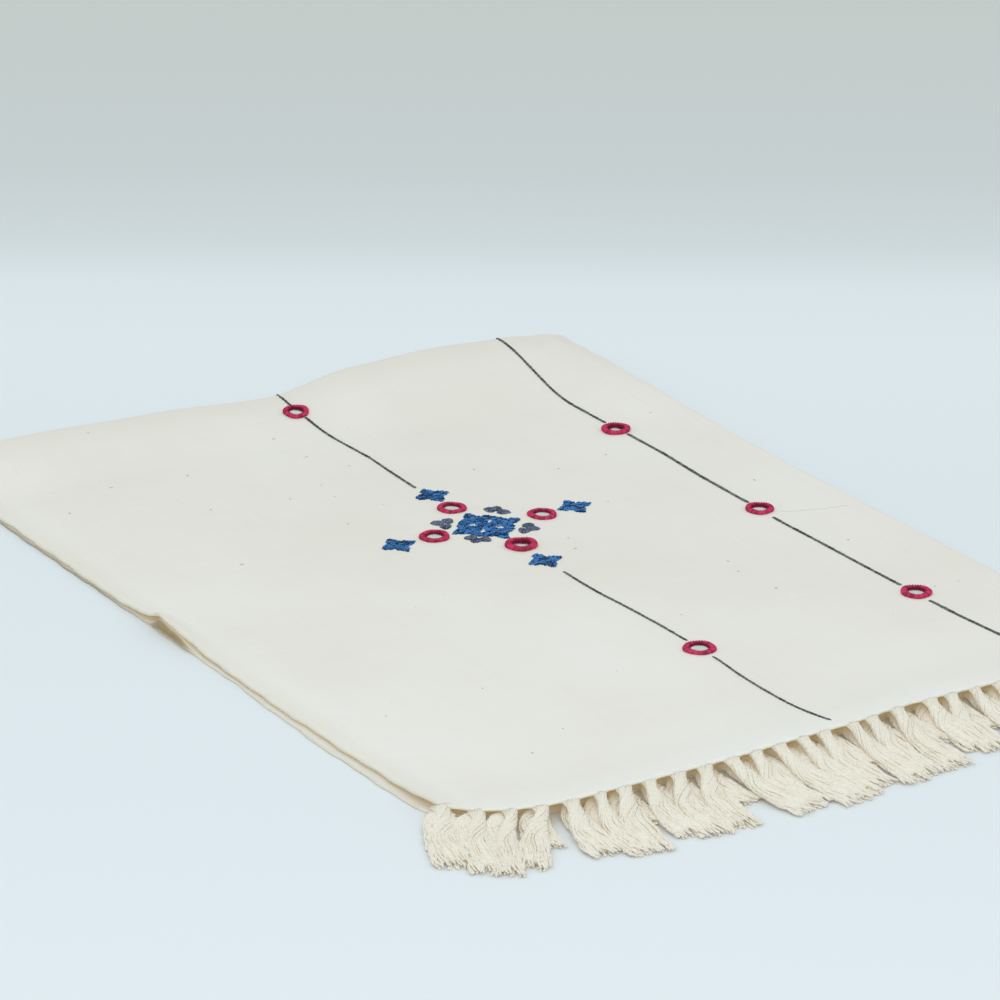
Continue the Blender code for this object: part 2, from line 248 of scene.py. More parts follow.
def makeTubes(centres, ups, halfWidth, halfHeight, corners):
    # closed tubes along rows of points: an ellipse of corners round each point, both ends capped
    # centres and ups are (tube, station, 3), or ups is one direction for all; the half sizes are
    # (tube, station); gives points, faces, uv
    n, s = centres.shape[:2]
    along = np.gradient(centres, axis=1)
    along /= np.linalg.norm(along, axis=2, keepdims=True)
    side = np.cross(ups, along)
    side /= np.linalg.norm(side, axis=2, keepdims=True)
    up = np.cross(along, side)
    turn = 2 * math.pi * np.arange(corners) / corners
    ring = (
        centres[:, :, None]
        + side[:, :, None] * (halfWidth[:, :, None] * np.cos(turn))[..., None]
        + up[:, :, None] * (halfHeight[:, :, None] * np.sin(turn))[..., None]
    )
    k = np.arange(corners)
    start = (np.arange(n) * s * corners)[:, None, None] + (np.arange(s - 1) * corners)[None, :, None]
    a, b = start + k, start + (k + 1) % corners
    sides = np.stack([a, b, b + corners, a + corners], -1).reshape(-1, 4)
    first = (np.arange(n) * s * corners)[:, None]
    fans = np.array([[0, i, i + 1, i + 2] for i in range(1, corners - 2, 2)])
    ends = [first[:, :, None] + fans[:, ::-1], first[:, :, None] + (s - 1) * corners + fans]
    faces = np.concatenate([sides] + [e.reshape(-1, 4) for e in ends])
    step = np.linalg.norm(np.diff(centres, axis=1), axis=2)
    run = np.concatenate([np.zeros((n, 1)), np.cumsum(step, axis=1)], axis=1) * mm
    spans = (run[:, :-1, None], run[:, 1:, None], k / corners, (k + 1) / corners)
    u0, u1, v0, v1 = [np.broadcast_to(span, (n, s - 1, corners)) for span in spans]
    sideUv = np.stack([u0, v0, u0, v1, u1, v1, u1, v0], -1).reshape(-1, 2)
    uv = np.zeros((faces.shape[0] * 4, 2))
    uv[: len(sideUv)] = sideUv
    return ring.reshape(-1, 3), faces, uv


def hexColour(text):
    # sRGB hex to linear red, green, blue, alpha
    values = [int(text[i : i + 2], 16) / 255 for i in (1, 3, 5)]
    return tuple(v / 12.92 if v <= 0.04045 else ((v + 0.055) / 1.055) ** 2.4 for v in values) + (1,)


def setInputs(node, inputs):
    # sockets by name or number, or in order: each gets a value or a link from another node's output
    pairs = inputs.items() if isinstance(inputs, dict) else enumerate(inputs)
    for key, value in pairs:
        if isinstance(value, bpy.types.NodeSocket):
            node.id_data.links.new(value, node.inputs[key])
        else:
            node.inputs[key].default_value = value


def addNode(tree, kind, inputs=None, output=0, stops=(), **settings):
    # one shader node with its settings, inputs and colour stops; gives one of its outputs
    node = tree.nodes.new("ShaderNode" + kind)
    for key, value in settings.items():
        setattr(node, key, value)
    for i, (place, colour) in enumerate(stops):
        stop = node.color_ramp.elements[i] if i < 2 else node.color_ramp.elements.new(place)
        stop.position = place
        stop.color = colour
    setInputs(node, inputs or {})
    return node.outputs[output]


def newMaterial(name):
    # a material, the function that adds nodes to it, and its shader
    material = bpy.data.materials.new(name)
    material.use_nodes = True
    tree = material.node_tree
    return material, partial(addNode, tree), tree.nodes["Principled BSDF"]


# Handloom cotton, unbleached, in hand-spun plain weave: a warm matt white whose threads are uneven
# both ways, thin enough that light soaks through its edges. Its uv is the cloth laid flat, and bands on
# it are in metres: u across from the middle, v along from the lower layer's hem
cotton = {
    "light": "#f2eadf",
    "dark": "#eae0d1",
    "tone": (0.6, 1.4),  # sums of the noises that are all light and all dark
    "pitch": 0.8,  # real threads are about 0.5 mm apart, too fine to show
    "stray": (1.2 * mm, 1.2 * mm, 0),  # how far a thread wanders
    "strayNoise": 90,  # noise scales are turns a metre
    "threadNoise": (1400, 30),  # across a thread, and along it
    "blotchNoise": 11,
    "knuckles": 0.25,  # their share in the relief, beside the uneven threads
    "bump": {"Strength": 0.35, "Distance": 0.1 * mm},
    "paintedHemLight": (0.7, 0.88, 0, -0.3),  # painted light: a shade lighter towards the near hem corner
    "paintedHemLightWay": (-0.6, 1, 0),
    "turned": "#d5c9b2",  # painted shade where it turns down from the light, along the fold and towards the near selvedge
    "foldLine": 0.458,
    "foldShadeBand": (0.024, 0.004, 0, 0.13),  # from and to, off the fold's line; share at each
    "nearShadeBand": (0.154, 0.1685, 0, 0.25),  # the same off the middle
    "edgeShadeBand": (0.168, 0.169),  # painted shade on the near selvedge's last threads, darkest where they lie on the table by the fold
    "edgeShadeStops": ((0.22, "#ddd4c3"), (0.27, "#aca290"), (0.42, "#aca290"), (0.45, "#ddd4c3")),
    "tuckShade": "#a8916c",  # painted shade, the same where they hang down in the shade of the tooth
    "tuckShadeBand": (0.1676, 0.1681),
    "tuckShadeStops": ((0.189, 0), (0.2, 1), (0.225, 1), (0.231, 0)),
    "under": "#ffeeb4",  # painted light: a glow standing in for daylight that has come through the cloth, on faces that look down
    "underGlow": (-0.2, -0.9, 0, 0.14),  # from and to of the normal's upward part, strength at each
    "soakBand": (0.145, 0.162, 0, 0.8),  # off the middle
    "soakHem": -0.286,  # added to the distance along, so that the hems soak as the selvedge does
    "soakReach": 1.5,
    "soakColour": (1, 0.8, 0.55),
    "roughness": 0.92,
    "specular": 0.2,
}


def weaveThreads(add, uv):
    # knuckles = sin(u) * sin(v), one turn a thread; threads = noise drawn out along warp and weft
    c = cotton
    noise = add("TexNoise", {"Vector": uv, "Scale": c["strayNoise"], "Detail": 2}, "Color")
    noise = add("VectorMath", [noise, (0.5, 0.5, 0.5)], operation="SUBTRACT")
    moved = add("VectorMath", [noise, c["stray"], uv], operation="MULTIPLY_ADD")
    place = add("SeparateXYZ", [moved]).node.outputs
    turns = 2 * math.pi / (c["pitch"] * mm)
    scaled = [add("Math", [place[axis], turns], operation="MULTIPLY") for axis in (0, 1)]
    waves = [add("Math", [value], operation="SINE") for value in scaled]
    knuckles = add("Math", waves, operation="MULTIPLY")
    across, along = c["threadNoise"]
    streaks = []
    for stretch in ((across, along, 1), (along, across, 1)):
        pulled = add("Mapping", {"Vector": uv, "Scale": stretch})
        streaks.append(add("TexNoise", {"Vector": pulled, "Scale": 1, "Detail": 3}))
    return knuckles, add("Math", streaks, operation="ADD")


def weaveColour(add, uv, threads):
    # from light to dark by the threads' noise and faint blotches, and painted light towards the near hem
    # corner
    c = cotton
    blotch = add("TexNoise", {"Vector": uv, "Scale": c["blotchNoise"], "Detail": 3})
    tone = add("Math", [threads, 0.5, blotch], operation="MULTIPLY_ADD")
    share = add("MapRange", [tone, *c["tone"]])
    # painted light: lighter towards the near hem corner
    corner = add("VectorMath", [uv, c["paintedHemLightWay"]], 1, operation="DOT_PRODUCT")
    paintedHemLight = add("MapRange", [corner, *c["paintedHemLight"]])
    share = add("Math", [share, paintedHemLight], operation="ADD")
    light, dark = hexColour(c["light"]), hexColour(c["dark"])
    return add("Mix", {0: share, 6: light, 7: dark}, 2, data_type="RGBA")


def edgeTints(add, colour, near, along):
    # painted shade: the cloth darkens where it turns down from the light, at its last threads, and where
    # they hang in the shade of the tooth
    c = cotton
    # painted shade where the cloth turns down along the fold and at the near selvedge
    fold = add("Math", [along, c["foldLine"]], operation="SUBTRACT")
    fold = add("Math", [fold], operation="ABSOLUTE")
    bands = ([near, *c["nearShadeBand"]], [fold, *c["foldShadeBand"]], [near, *c["edgeShadeBand"]])
    *turned, edge = [add("MapRange", band, interpolation_type="SMOOTHSTEP") for band in bands]
    turned = add("Math", turned, operation="MAXIMUM")
    # painted shade along the selvedge's last threads, darkest on the table by the fold
    stops = [(place, hexColour(text)) for place, text in c["edgeShadeStops"]]
    edgeShadeColour = add("ValToRGB", [along], stops=stops)
    # painted shade where the last threads hang down under the tooth
    hangingShade = add("MapRange", [near, *c["tuckShadeBand"]])
    stops = [(place, (value, value, value, 1)) for place, value in c["tuckShadeStops"]]
    tuckShade = add("ValToRGB", [along], stops=stops)
    hangingShade = add("Math", [hangingShade, tuckShade], operation="MULTIPLY")
    tints = ((turned, hexColour(c["turned"])), (edge, edgeShadeColour), (hangingShade, hexColour(c["tuckShade"])))
    for share, tint in tints:
        colour = add("Mix", {0: share, 6: colour, 7: tint}, 2, data_type="RGBA")
    return colour


def soakShare(add, near, along):
    # light soaks in only along the near selvedge and the hems, where it shows
    end = add("Math", [along, -runner["flat"][1] / 2], operation="ADD")
    end = add("Math", [end], operation="ABSOLUTE")
    end = add("Math", [end, cotton["soakHem"]], operation="ADD")
    rim = add("Math", [near, end], operation="MAXIMUM")
    return add("MapRange", [rim, *cotton["soakBand"]])


def underGlow(add):
    # painted light: a glow on faces that look down
    facing = add("NewGeometry", output="Normal")
    facing = add("SeparateXYZ", [facing], 2)
    return add("MapRange", [facing, *cotton["underGlow"]])


def cottonWeave():
    c = cotton
    material, add, shader = newMaterial("unbleached handloom cotton, plain weave")
    uv = add("UVMap", uv_map="threads")
    across, along = add("SeparateXYZ", [uv]).node.outputs[:2]
    near = add("Math", [across, -1], operation="MULTIPLY")
    knuckles, threads = weaveThreads(add, uv)
    relief = add("Math", [knuckles, c["knuckles"], threads], operation="MULTIPLY_ADD")
    setInputs(shader, {
        "Base Color": edgeTints(add, weaveColour(add, uv, threads), near, along),
        "Normal": add("Bump", {**c["bump"], "Height": relief}),
        "Roughness": c["roughness"],
        "Specular IOR Level": c["specular"],
        "Emission Color": hexColour(c["under"]),
        "Emission Strength": underGlow(add),
        "Subsurface Weight": soakShare(add, near, along),
        "Subsurface Radius": c["soakColour"],
        "Subsurface Scale": c["soakReach"] * mm,
    })
    return material


# Cotton thread of two or more plies: matt, furrowed between its plies, and never quite one colour
thread = {
    "plyTone": 0.14,
    "mottleTone": 0.7,
    "mottleNoise": 700,
    "middleTone": 0.4,
    "bump": {"Strength": 0.5, "Distance": 0.1 * mm},
    "roughness": 0.7,
}


def plyThread(name, light, dark, plies, twist, gloss=0.25, contrast=0.8, glow=0):
    # plied cotton: sin(2 pi (plies * v + u / twist)) gives its turns; each stitch has its own shade
    material, add, shader = newMaterial(name)
    uv = add("UVMap", uv_map="threads")
    u, v = add("SeparateXYZ", [uv]).node.outputs[:2]
    around = add("Math", [v, 2 * math.pi * plies], operation="MULTIPLY")
    turns = 2 * math.pi / (twist * mm)
    turn = add("Math", [u, turns, around], operation="MULTIPLY_ADD")
    ply = add("Math", [turn], operation="SINE")
    shade = add("Attribute", output="Fac", attribute_name="shade")
    spot = add("TexCoord", output="Object")
    mottle = add("TexNoise", {"Vector": spot, "Scale": thread["mottleNoise"], "Detail": 3})
    tone = add("Math", [ply, thread["plyTone"], shade], operation="MULTIPLY_ADD")
    tone = add("Math", [mottle, thread["mottleTone"], tone], operation="MULTIPLY_ADD")
    middle = thread["middleTone"]
    share = add("MapRange", [tone, middle - contrast / 2, middle + contrast / 2])
    ends = {0: share, 6: hexColour(dark), 7: hexColour(light)}
    setInputs(shader, {
        "Base Color": add("Mix", ends, 2, data_type="RGBA"),
        "Normal": add("Bump", {**thread["bump"], "Height": ply}),
        "Roughness": thread["roughness"],
        "Specular IOR Level": gloss,
        # painted light: a glow in the dark colour where glow is given, as for the loose yarn
        "Emission Color": hexColour(dark),
        "Emission Strength": glow,
    })
    return material


# Silvered sheet glass, cut by hand: a clear cool reflection with faint clouding
mirrorGlass = {
    "cloudy": "#dcded3",
    "clear": "#ecece2",
    "cloudNoise": 420,
    "roughness": (0.35, 0.7, 0.08, 0.26),  # from and to of the clouding, roughness at each
    "bump": {"Strength": 0.2, "Distance": 0.05 * mm},
}


def cutMirror():
    m = mirrorGlass
    material, add, shader = newMaterial("silvered mirror glass, hand cut")
    spot = add("TexCoord", output="Object")
    cloud = add("TexNoise", {"Vector": spot, "Scale": m["cloudNoise"], "Detail": 4})
    ends = {0: cloud, 6: hexColour(m["cloudy"]), 7: hexColour(m["clear"])}
    setInputs(shader, {
        "Base Color": add("Mix", ends, 2, data_type="RGBA"),
        "Roughness": add("MapRange", [cloud, *m["roughness"]]),
        "Normal": add("Bump", {**m["bump"], "Height": cloud}),
        "Metallic": 1,
    })
    return material


weave = cottonWeave()
# the warp's own loose ends: creamier and fluffier than the cloth; a painted glow stands in for light that
# passes from yarn to yarn, so that the hollows between them are warm and never dark
looseYarn = "loose cotton warp yarn, hand knotted"
yarn = plyThread(looseYarn, "#f0eadf", "#e0d2b8", 2, 2.8, contrast=1.3, glow=0.10)
# stranded floss, dyed: soft lustre along each stitch, and painted shade nearly black where it dips into the
# cloth
crimson = plyThread("crimson cotton embroidery thread", "#ea406a", "#841638", 2, 1.6)
blue = plyThread("blue cotton embroidery thread", "#4a8bc9", "#051b44", 2, 1.6, gloss=0.12, contrast=0.75)
greyViolet = plyThread("grey-violet cotton embroidery thread", "#7a8296", "#2e3648", 2, 1.6, gloss=0.12)
slate = plyThread("slate cotton embroidery thread", "#787a76", "#3b3e3d", 2, 1.6, gloss=0.12)
fleck = plyThread("cotton seed-coat flecks", "#d3cbbb", "#b3ab9b", 1, 2)
slub = plyThread("cotton slubs", "#f6eee0", "#eadfcc", 1, 2)
glass = cutMirror()
print("materials made")


# the cloth's grid as (from, to, steps): t along it and y across, closer at the near selvedge's tooth
sheetSteps = {
    "along": (
        (0, 0.47, 50), (0.47, 0.62, 60), (0.62, 1, 40), (1, 2, 22), (2, 2.39, 75),
        (2.39, 2.52, 45), (2.52, 3, 100),
    ),
    "across": ((-169, -155, 13), (-155, 160, 103), (160, 168.7, 8), (168.7, 169, 1)),
}


def stepPlaces(steps):
    runs = [np.linspace(first, last, count, endpoint=False) for first, last, count in steps]
    return np.concatenate(runs + [[steps[-1][1]]])


def makeCloth():
    # the outer face on a grid of t and y, given its thickness inwards; uv is the cloth laid flat
    t, y = stepPlaces(sheetSteps["along"]), stepPlaces(sheetSteps["across"])
    grid = clothPoint(t[None, :], y[:, None])
    rows, columns = grid.shape[:2]
    r, c = np.meshgrid(np.arange(rows - 1), np.arange(columns - 1), indexing="ij")
    a = (r * columns + c).ravel()
    faces = np.stack([a, a + 1, a + columns + 1, a + columns], 1)
    middle = grid[rows // 2]
    run = np.concatenate([[0], np.cumsum(np.linalg.norm(np.diff(middle, axis=0), axis=1))])
    flat = np.stack(np.broadcast_arrays(y[:, None], run[None, :]), -1).reshape(-1, 2) * mm
    points, loopUv = grid.reshape(-1, 3), flat[faces.ravel()]
    piece = makePiece("runnerCloth", points, faces, weave, loopUv)
    thick = piece.modifiers.new("thickness", "SOLIDIFY")
    thick.thickness = runner["thick"] * mm
    thick.offset = -1
    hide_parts("cloth")
    return piece


cloth = makeCloth()
print("cloth made")


# Cut mirrors held by rings of crimson thread, hand-sewn, so no two are the same
mirrorWork = {
    "ringRadius": 5.15,
    "halfWidth": 1.32,
    "wraps": 34,
    "stepsPerWrap": 8,
    "corners": 14,
    "squareness": 0.6,  # of the section: 1 is an ellipse, 0 a square
    "swell": 0.16,  # of the section, over each wrap
    "lean": 1.5,
    "uneven": (0.5, 0.06, 0.3),  # of the wraps' lean, the section and the radius
    "sit": (0.46, 0.5),  # the section's middle and half, in ring heights
    "threadRun": 0.7,  # of thread from one corner of the section to the next
    "tone": (-0.18, 0.3),
    "innerWallShade": (0.7, 0.2),  # painted shade: the inner wall, turned from the light, is the deepest red
    "mirrorRadius": 4.4,
    "mirrorEdge": ((-0.1, 0.05), (0, 0.15), (0, 0.28), (-0.12, 0.4)),  # past the radius, height
    "mirrorSteps": 48,
    "sewn": {  # ring number: size against the usual, height
        1: (1.00, 1.3), 2: (1.09, 1.9), 3: (1.03, 1.4), 4: (1.00, 1.3), 5: (0.95, 1.6),
        6: (1.06, 1.3), 7: (1.03, 1.8), 8: (1.00, 1.5), 9: (1.05, 1.5),
    },
}


def makeThreadRing(number, centre, dice):
    # a squared torus whose section swells with each wrap: 1 + swell * cos(wraps * turn + lean)
    m = mirrorWork
    steps = m["wraps"] * m["stepsPerWrap"]
    turn = 2 * math.pi * np.arange(steps)[:, None] / steps
    angle = 2 * math.pi * np.arange(m["corners"])[None, :] / m["corners"]
    phases = dice.uniform(0, 6.3, 4)
    uneven = sum(np.sin(k * turn + phases[k - 2]) for k in (2, 3, 5)) / 3
    unevenLean, unevenWrap, unevenRadius = [share * uneven for share in m["uneven"]]
    lean = m["lean"] * np.cos(angle) + unevenLean
    wrap = 1 + m["swell"] * np.cos(m["wraps"] * turn + lean) + unevenWrap
    outward, upward = [np.sign(f) * np.abs(f) ** m["squareness"] for f in (np.cos(angle), np.sin(angle))]
    size, height = m["sewn"][number]
    radius = size * (m["ringRadius"] + m["halfWidth"] * outward * wrap + unevenRadius)
    lift = height * (m["sit"][0] + m["sit"][1] * upward * wrap)
    x, y = centre[0] + radius * np.cos(turn), centre[1] + radius * np.sin(turn)
    t = upperT(x, y)
    points = clothPoint(t, y) + clothNormal(t, y) * lift[..., None]
    i, k = np.meshgrid(np.arange(steps), np.arange(m["corners"]), indexing="ij")
    a = i * m["corners"] + k
    b = (i + 1) % steps * m["corners"] + k
    k2 = (k + 1) % m["corners"] - k
    faces = np.stack([a, b, b + k2, a + k2], -1).reshape(-1, 4)
    # u runs along each wrap and v across them, so that the ply follows the thread
    u = np.stack([k, k, k + 1, k + 1], -1) * m["threadRun"] * mm
    v = np.stack([i, i + 1, i + 1, i], -1) / m["stepsPerWrap"]
    uv = np.stack([u, v], -1).reshape(-1, 2)
    # painted shade on the inner wall
    deep, start = m["innerWallShade"]
    shade = np.repeat(dice.uniform(*m["tone"], m["wraps"]), m["stepsPerWrap"])[:, None]
    shade = shade - deep * np.clip(-np.cos(angle) - start, 0, 1)
    name = f"mirrorStitch_{number}"
    piece = makePiece(name, points.reshape(-1, 3), faces, crimson, uv, shade)
    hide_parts(f"ring_{number}")
    return piece


def makeMirror(number, centre):
    # a turned disc: the edge's rows round the centre, closed by flat caps above and below
    m = mirrorWork
    n = m["mirrorSteps"]
    turn = 2 * math.pi * np.arange(n) / n
    t = upperT(*centre)
    base, up = clothPoint(t, centre[1]), clothNormal(t, centre[1])
    side = np.cross([0, 1, 0], up)
    side /= np.linalg.norm(side)
    other = np.cross(up, side)
    spokes = np.cos(turn)[:, None] * side + np.sin(turn)[:, None] * other
    rows = [base + (m["mirrorRadius"] + more) * spokes + height * up for more, height in m["mirrorEdge"]]
    around = np.arange(n)
    after = (around + 1) % n
    wall = np.stack([around, after, after + n, around + n], 1)
    faces = [around[::-1].tolist(), (around + (len(rows) - 1) * n).tolist()]
    for row in range(len(rows) - 1):
        faces += (wall + row * n).tolist()
    piece = makePiece(f"cutMirror_{number}", np.concatenate(rows), faces, glass)
    piece.data.set_sharp_from_angle(angle=math.radians(35))
    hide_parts(f"mirror_{number}")
    return piece


for number in range(1, 10):
    low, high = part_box(f"ring_{number}")
    centre = [(low[i] + high[i]) / 2 / mm - runner["shift"][i] for i in (0, 1)]
    makeThreadRing(number, centre, np.random.default_rng(40 + number))
    makeMirror(number, centre)
print("mirrors and rings made")


# Every stitch of the embroidery
stitch = {
    "stations": 6,
    "corners": 6,
    "arch": 5,  # power by which a stitch dips at its ends
    "size": (0.88, 1.12),
    "tip": (0.35, 0.45),  # width and height at both ends against the middle's
    "lift": (0.5, 0.12),  # of its height: up in its middle, and sunk throughout
    "tone": 0.4,  # each stitch has its own shade
    "dipShade": (0.45, 0.8),  # painted shade: darkest where it dips into the cloth
}


def sewStitches(name, starts, ends, width, height, material, slotName, seed):
    # each stitch is a flattened tube from start to end on the cloth, arched up and sunk at both ends:
    # arch = sqrt(1 - |2s - 1|^power); starts and ends are rows of (t, y)
    dice = np.random.default_rng(seed)
    s = np.linspace(0, 1, stitch["stations"])
    t = starts[:, :1] * (1 - s) + ends[:, :1] * s
    y = starts[:, 1:] * (1 - s) + ends[:, 1:] * s
    arch = np.sqrt(np.clip(1 - np.abs(2 * s - 1) ** stitch["arch"], 0, 1))
    size = dice.uniform(*stitch["size"], (len(starts), 1))
    tipWidth, tipHeight = stitch["tip"]
    halfWidth = width / 2 * size * (tipWidth + (1 - tipWidth) * arch)
    halfHeight = height / 2 * size * (tipHeight + (1 - tipHeight) * arch)
    ups = clothNormal(t, y)
    raised, sunk = stitch["lift"]
    lift = (height * size * (raised * arch - sunk))[..., None]
    centres = clothPoint(t, y) + ups * lift
    points, faces, uv = makeTubes(centres, ups, halfWidth, halfHeight, stitch["corners"])
    # painted shade where a stitch dips into the cloth
    dip, level = stitch["dipShade"]
    tone = dice.uniform(-stitch["tone"], stitch["tone"], (len(starts), 1)) + dip * (arch - level)
    shade = np.repeat(tone.ravel(), stitch["corners"])
    return makePiece(name, points, faces, material, uv, shade)


def joinPairs(pairs):
    return [np.concatenate([pair[i] for pair in pairs]) for i in (0, 1)]


def toRows(pairs):
    # starts and ends as rows of x, y on the upper layer, turned to rows of t, y
    return [np.stack([upperT(*part.T), part[:, 1]], -1) for part in joinPairs(pairs)]


# Blue stars, counted satin stitch laid across the runner: four in the block and one beyond each ring
stars = {
    "centre": (-34.4, 9.2),
    "block": ((-8.75, 0), (8.75, 0), (0, -8.75), (0, 8.75)),  # off the centre
    "blockSize": (9.3, 3.5),  # reach of a point, half-width of a petal at its root
    "singles": ((-79.3, 8.7), (14.1, 8.7), (-35.2, -36.2), (-34.6, 56.4)),  # x, y
    "singleSize": (9, 3.4),
    "plump": 3.2,
    "rows": (0.3, 0.2, 0.85),  # first and last row inside the reach, step
    "stitch": 2.8,
    "shortest": 0.45,
    "breaks": 0.5,  # stitches in a row meet this far off their even places
    "ragged": (-0.64, 0.8),  # the outer ones end short of the outline or past it
    "tilt": 0.16,
    "gap": 0.08,
    "size": (0.82, 0.75),  # of a stitch: width, height
}


def starStitches(centre, size, dice):
    # rows across a star that is two crossed petals |b| = w (1 - |a / R|^plump), broken into stitches
    reach, half = size
    first, last, step = stars["rows"]
    pairs = []
    for dx in np.arange(-reach + first, reach - last, step):
        lens = half * (1 - (abs(dx) / reach) ** stars["plump"])
        if abs(dx) < half:
            lens = max(lens, reach * (1 - abs(dx) / half) ** (1 / stars["plump"]))
        if lens < stars["shortest"]:
            continue
        count = max(1, round(2 * lens / stars["stitch"]))
        breaks = np.linspace(-lens, lens, count + 1)
        breaks[1:-1] += dice.uniform(-stars["breaks"], stars["breaks"], count - 1)
        breaks[[0, -1]] += dice.uniform(*stars["ragged"], 2) * (-1, 1)
        tilt = dice.uniform(-stars["tilt"], stars["tilt"], (2, count))
        x = centre[0] + dx + tilt
        low, high = centre[1] + breaks[:-1] + stars["gap"], centre[1] + breaks[1:] - stars["gap"]
        pairs.append((np.stack([x[0], low], 1), np.stack([x[1], high], 1)))
    return joinPairs(pairs)


def makeStars():
    dice = np.random.default_rng(11)
    cx, cy = stars["centre"]
    sets = [starStitches((cx + a, cy + b), stars["blockSize"], dice) for a, b in stars["block"]]
    sets += [starStitches(place, stars["singleSize"], dice) for place in stars["singles"]]
    return sewStitches("blueStars", *toRows(sets), *stars["size"], blue, "blue_thread", 12)


# Grey-violet leaves of three lobes, one off each corner of the block
leaves = {
    "rows": (  # junction x, junction y, headings of the three lobes in degrees
        (-47.4, 22.6, (141, 199, 50)),
        (-46.4, -4.8, (134, 228, 327)),
        (-23.6, 22.8, (45, 124, 318)),
        (-24.4, -1, (18, 247, 309)),
    ),
    "turn": 0.06,  # radians that a lobe may be off its heading
    "length": 6.7,
    "half": 2.6,
    "threads": 9,
    "round": (0.62, 0.9),  # share of the length that all threads have, and roundness of the tip
    "uneven": 0.05,
    "bends": ((0.1, 0.5), (0.55, 1), (1, 0.7)),  # share of the length, share of the half-width
    "breaks": 0.8,  # a thread's two stitches meet this far off its middle
    "gap": 0.3,
    "size": (0.78, 0.7),
}


def leafStitches(place, a, dice):
    # threads run out from the junction to a round tip, bowed apart in its middle
    axis, side = np.array([[math.cos(a), math.sin(a)], [-math.sin(a), math.cos(a)]])
    base, rounding = leaves["round"]
    offset = np.linspace(-1, 1, leaves["threads"])[:, None]
    bow = offset * leaves["half"]
    reach = leaves["length"] * (base + (1 - base) * np.sqrt(1 - rounding * offset**2))
    reach = reach * dice.uniform(1 - leaves["uneven"], 1 + leaves["uneven"], offset.shape)
    bends = leaves["bends"]
    root, bend, tip = [place + axis * reach * far + side * bow * spread for far, spread in bends]
    bend = bend + axis * dice.uniform(-leaves["breaks"], leaves["breaks"], offset.shape)
    gap = axis * leaves["gap"]
    return np.concatenate([root, bend - gap]), np.concatenate([bend + gap, tip])


def makeLeaves():
    dice = np.random.default_rng(21)
    pairs = []
    for x, y, headings in leaves["rows"]:
        for heading in headings:
            a = math.radians(heading) + dice.uniform(-leaves["turn"], leaves["turn"])
            pairs.append(leafStitches(np.array([x, y]), a, dice))
    return sewStitches("greyLeaves", *toRows(pairs), *leaves["size"], greyViolet, "grey_thread", 22)


# Slate lines in stem stitch, broken at the rings and the motif
lines = {
    "runs": (  # rows of x, y on the upper layer, or of "t", t, y on the fold's loop
        (("t", 1.9, 9.6), ("t", 2, 9.3), (-212, 8.8), (-205.5, 8.2)),
        ((-192, 8.3), (-180, 8.2), (-150, 8.9), (-135, 9.4), (-115, 8.1), (-91, 7.1)),
        ((28.8, 8.6), (43, 8), (58, 8.1), (72, 9.2), (86, 10), (100, 10.6), (119.5, 10.9)),
        ((138.5, 10.7), (144, 10.5), (160, 9), (175, 8.5), (189, 8.6), (206, 8.8), (223, 9)),
        (
            ("t", 1.92, 129.6), ("t", 2, 129.6), (-200.7, 129.1), (-183, 128.6), (-162, 128.6),
            (-146, 129.3), (-118, 129.3),
        ),
        ((-100.5, 130), (-70, 129.7), (-48, 128.1), (-37, 127.3), (-4, 126.2), (2.5, 126.2)),
        ((22.6, 125.3), (29, 124.9), (58, 125.2), (90, 125.2), (117, 125.3)),
        ((137, 125.3), (158, 125.5), (184, 126.9), (205, 127.6), (224, 128)),
    ),
    "bold": (1, 1, 0.88, 0.68, 1.25, 1.42, 1.25, 1.32),  # width of each run against the usual
    "fine": 40,  # places a row at which a run is measured
    "step": 2.6,
    "overlap": 1.9,
    "slant": 0.3,
    "width": 1.08,
    "height": 0.7,
}


def lineStitches(run):
    # points every step along a run; a stitch leans from one side of the line to the other
    rows = np.array([row[1:] if row[0] == "t" else (upperT(*row), row[1]) for row in run], float)
    fine = np.linspace(0, len(rows) - 1, lines["fine"] * len(rows))
    t, y = [np.interp(fine, np.arange(len(rows)), rows[:, i]) for i in (0, 1)]
    place = clothPoint(t, y)
    along = np.concatenate([[0], np.cumsum(np.linalg.norm(np.diff(place, axis=0), axis=1))])
    step = lines["step"]
    a = np.linspace(0, along[-1] - step, max(2, int(along[-1] / step)))
    b = np.clip(a + step + lines["overlap"], 0, along[-1])
    ends = ((a, -lines["slant"]), (b, lines["slant"]))
    return [np.stack([np.interp(s, along, t), np.interp(s, along, y) + aside], 1) for s, aside in ends]


def makeLines():
    sets = [lineStitches(run) for run in lines["runs"]]
    widths = np.repeat(lines["bold"], [len(pair[0]) for pair in sets])[:, None] * lines["width"]
    return sewStitches("slateLines", *joinPairs(sets), widths, lines["height"], slate, "slate_thread", 32)


# Flecks of seed coat and pale slubs spun into the yarn: short, along a thread of the weave
neps = {
    "dark": (
        (-83, 106), (-108, -49), (-98, 43), (-131, -4), (-151, -15), (-147, -141), (-19, 145), (68, 74),
        (-178, -17), (56, 77), (-158, -74), (-213, -96), (-115, -86), (62, 138), (9, 28), (127, 149),
        (-163, -111), (92, 77), (-52, -106), (-69, -42),
    ),
    "pale": ((-173, -136), (-111, -47), (-150, -17), (-81, -16)),
    "weftSlub": ((18, 131), (31, 162)),  # one long pale slub crosses the far side
    "more": 12,  # fainter ones strewn over the rest
    "field": (205, 155),
    "half": (0.5, 1.1),  # half lengths
    "moreHalf": 0.5,  # of the fainter ones, against the others
    "thin": 0.12,
    "size": (0.5, 0.3),
}


